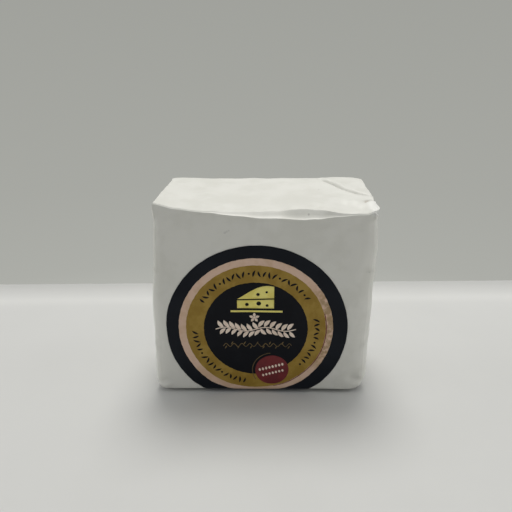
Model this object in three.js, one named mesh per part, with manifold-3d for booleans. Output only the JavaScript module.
// A square soft cheese wrapped in one sheet of waxed paper, standing on one edge, with a round label.
// Millimetres. +Z is up, the labelled face looks towards -Y, and the origin is under the middle of the pack.

import * as THREE from 'three';
import { RoundedBoxGeometry } from 'three/addons/geometries/RoundedBoxGeometry.js';
import { mergeVertices } from 'three/addons/utils/BufferGeometryUtils.js';
import Module from 'manifold-3d';

// The cheese
const CHEESE_WIDTH = 84;
const CHEESE_DEPTH = 40;
const CHEESE_HEIGHT = 82;
const CHEESE_ROUND = 7;

// The sheet of paper. PAPER is the wall of the model, which stands for the sheet with its small creases.
const PAPER = 0.4;
const LAYER_GAP = 0.35; // air between two layers that lie on each other
const FLOOR_SLACK = 0.3; // air under the cheese
const TOP_SLACK = 1.15;
const FACE_SLACK = 0.6; // air in front of the cheese, and behind it
const END_SLACK = 0.8; // air at each end of the cheese
const FRONT_BASE_FOLD = 2; // radii of the four long folds, at the middle of the wall
const FRONT_TOP_FOLD = 1.5;
const BACK_TOP_FOLD = 3;
const BACK_BASE_FOLD = 3;
const OVERLAP = 16; // how far the sheet's two edges lap under the pack

// The folded ends: a tuck from above and below, then the back flap, then the front flap over it
const FLAP_LENGTH = 29;
const FLAP_INSET = 2; // from the pack's outline to a flap's root

// The round label
const LABEL_DIAMETER = 75;
const LABEL_THICKNESS = 0.25;
const LABEL_GAP = 0.3; // from the paper to the label
const LABEL_SHIFT = -2; // sideways from the middle of the face
const LABEL_HEIGHT = 30.5; // from the surface that the pack stands on to the label's centre
const SEAM_CLEARANCE = 4; // from the label's tucked edge to the edge of the sheet's outer layer

// How finely curves are divided
const ARC_STEPS = 8;
const LABEL_ROWS = 120;
const LABEL_POLE = 1.2; // degrees left off at the label's top and bottom, where its rows shrink to nothing

// Places that follow from the sizes, at the middle of the paper's wall
const packDepth = CHEESE_DEPTH + 2 * FACE_SLACK + 2 * PAPER;
const endInside = CHEESE_WIDTH / 2 + END_SLACK;
const front = -packDepth / 2 + PAPER / 2;
const back = packDepth / 2 - PAPER / 2;
const outerFloor = PAPER / 2;
const innerFloor = outerFloor + PAPER + LAYER_GAP;
const cheeseFloor = innerFloor + PAPER / 2 + FLOOR_SLACK;
const roof = cheeseFloor + CHEESE_HEIGHT + TOP_SLACK + PAPER / 2;

// The label runs down the front, round the fold and a little way under the pack
const foldY = front + FRONT_BASE_FOLD;
const foldZ = innerFloor + FRONT_BASE_FOLD;
const foldSkin = FRONT_BASE_FOLD + PAPER / 2;
const labelDrop = LABEL_HEIGHT - foldZ;
const labelFold = (Math.PI / 2) * (foldSkin + LABEL_GAP);
const labelTuck = Math.max(0, LABEL_DIAMETER / 2 - labelDrop - labelFold);
const seamOuter = foldY + labelTuck + SEAM_CLEARANCE;
const seamInner = seamOuter + OVERLAP;

const wasm = await Module();
wasm.setup();

// A closed geometry as a solid that can be joined, and back.
function solidOf(geometry) {
  const bare = geometry.clone();
  bare.deleteAttribute('normal');
  bare.deleteAttribute('uv');
  const merged = mergeVertices(bare, 1e-4);
  return new wasm.Manifold(new wasm.Mesh({
    numProp: 3,
    vertProperties: merged.attributes.position.array,
    triVerts: new Uint32Array(merged.index.array),
  }));
}

function geometryOf(solid) {
  const mesh = solid.getMesh();
  const geometry = new THREE.BufferGeometry();
  geometry.setAttribute('position', new THREE.BufferAttribute(mesh.vertProperties, 3));
  geometry.setIndex(new THREE.BufferAttribute(mesh.triVerts, 1));
  geometry.computeVertexNormals();
  return geometry;
}

// An outline drawn in Y and Z, carried along X from x0 to x1.
function extrudeAlongX(points, x0, x1) {
  const geometry = new THREE.ExtrudeGeometry(new THREE.Shape(points), {
    depth: x1 - x0,
    bevelEnabled: false,
  });
  const turn = new THREE.Matrix4().makeBasis(
    new THREE.Vector3(0, 1, 0),
    new THREE.Vector3(0, 0, 1),
    new THREE.Vector3(1, 0, 0),
  );
  return geometry.applyMatrix4(turn).translate(x0, 0, 0);
}

// The sheet in section, as the line along the middle of its wall: from its inner edge under the
// pack, forwards and up the front, over the top, down the back and forwards again to its outer edge.
function sheetLine() {
  const folds = [
    [foldY, foldZ, FRONT_BASE_FOLD, -Math.PI / 2],
    [front + FRONT_TOP_FOLD, roof - FRONT_TOP_FOLD, FRONT_TOP_FOLD, Math.PI],
    [back - BACK_TOP_FOLD, roof - BACK_TOP_FOLD, BACK_TOP_FOLD, Math.PI / 2],
    [back - BACK_BASE_FOLD, outerFloor + BACK_BASE_FOLD, BACK_BASE_FOLD, 0],
  ];
  const points = [new THREE.Vector2(seamInner, innerFloor)];
  for (const [y, z, radius, start] of folds) {
    const fold = new THREE.Path().absarc(y, z, radius, start, start - Math.PI / 2, true);
    points.push(...fold.getPoints(ARC_STEPS));
  }
  points.push(new THREE.Vector2(seamOuter, outerFloor));
  return points;
}

// The line moved sideways by a distance, to the left of its direction, with mitred corners.
function offsetLine(points, distance) {
  const leftOf = (from, to) => {
    const along = to.clone().sub(from).normalize();
    return new THREE.Vector2(-along.y, along.x);
  };
  return points.map((point, i) => {
    const before = leftOf(points[Math.max(0, i - 1)], points[Math.max(1, i)]);
    const last = points.length - 1;
    const after = leftOf(points[Math.min(last - 1, i)], points[Math.min(last, i + 1)]);
    const mitre = before.clone().add(after).normalize();
    return point.clone().addScaledVector(mitre, distance / mitre.dot(after));
  });
}

// The sheet as a tube: its wall in section, as long as the cheese and half of each end's wall.
function tube() {
  const line = sheetLine();
  const outside = offsetLine(line, PAPER / 2);
  const inside = offsetLine(line, -PAPER / 2);
  const reach = endInside + PAPER / 2;
  return solidOf(extrudeAlongX([...inside, ...outside.reverse()], -reach, reach));
}

// The folded end on one side, +1 or -1: the tucked wall, the back flap and the front flap over it.
function foldedEnd(side) {
  const plate = (points, inside, outside) => {
    const reach = [side * inside, side * outside];
    return solidOf(extrudeAlongX(points, Math.min(...reach), Math.max(...reach)));
  };
  const low = innerFloor + FLAP_INSET;
  const high = roof - FLAP_INSET;
  const flap = (rootY, towards, outside) => {
    const points = [
      new THREE.Vector2(rootY, low),
      new THREE.Vector2(rootY, high),
      new THREE.Vector2(rootY + towards * FLAP_LENGTH, high - FLAP_LENGTH),
      new THREE.Vector2(rootY + towards * FLAP_LENGTH, low + FLAP_LENGTH),
    ];
    return plate(points, endInside + PAPER / 2, outside);
  };
  const outline = [new THREE.Vector2(seamOuter, innerFloor), ...sheetLine().slice(1)];
  const wall = plate(outline, endInside, endInside + PAPER);
  const backFlap = flap(back - FLAP_INSET, -1, endInside + 2 * PAPER);
  const frontFlap = flap(front + FLAP_INSET, 1, endInside + 3 * PAPER);
  return wall.add(backFlap).add(frontFlap);
}

// The block of cheese, with rounded edges.
function cheeseGeometry() {
  const block = new RoundedBoxGeometry(CHEESE_WIDTH, CHEESE_DEPTH, CHEESE_HEIGHT, 5, CHEESE_ROUND);
  return block.translate(0, 0, cheeseFloor + CHEESE_HEIGHT / 2);
}

// The wrapper: the tube and its two folded ends are one sheet.
function wrapperGeometry() {
  return geometryOf(tube().add(foldedEnd(1)).add(foldedEnd(-1)));
}

// Where a point of the label lies: how far it is down the sheet from the label's centre, and how
// far it stands off the paper.
function labelPoint(down, standOff) {
  if (down <= labelDrop) {
    return [foldY - foldSkin - standOff, LABEL_HEIGHT - down];
  }
  const round = Math.min(1, (down - labelDrop) / labelFold) * (Math.PI / 2);
  const under = Math.max(0, down - labelDrop - labelFold);
  const radius = foldSkin + standOff;
  return [foldY - radius * Math.cos(round) + under, foldZ - radius * Math.sin(round)];
}

// The label: a disc made of level rows, each as wide as the circle is there, bent round the fold.
function labelGeometry() {
  const slab = new THREE.BoxGeometry(2, 2, 1, 1, LABEL_ROWS, 1);
  const position = slab.attributes.position;
  const radius = LABEL_DIAMETER / 2;
  const pole = Math.PI / 2 - THREE.MathUtils.degToRad(LABEL_POLE);
  for (let i = 0; i < position.count; i += 1) {
    const angle = position.getY(i) * pole;
    const x = LABEL_SHIFT + position.getX(i) * radius * Math.cos(angle);
    const standOff = LABEL_GAP + LABEL_THICKNESS * (position.getZ(i) + 0.5);
    const [y, z] = labelPoint(-radius * Math.sin(angle), standOff);
    position.setXYZ(i, x, y, z);
  }
  slab.computeVertexNormals();
  return slab;
}

function part(name, geometry, color, roughness, metalness) {
  const material = new THREE.MeshStandardMaterial({ color, roughness, metalness });
  const mesh = new THREE.Mesh(geometry, material);
  mesh.name = name;
  return mesh;
}

const cheese = part('cheese', cheeseGeometry(), 0xefe9d6, 0.85, 0);
const wrapper = part('paper_wrapper', wrapperGeometry(), 0xe8e8e0, 0.5, 0);
const label = part('round_label', labelGeometry(), 0x17191e, 0.35, 0);

// The label stands proud of the front, so the pack moves back until the whole is over the origin.
const pack = new THREE.Group();
pack.add(cheese, wrapper, label);
pack.position.y = (LABEL_GAP + LABEL_THICKNESS) / 2;

const root = new THREE.Group();
root.add(pack);

export default root;
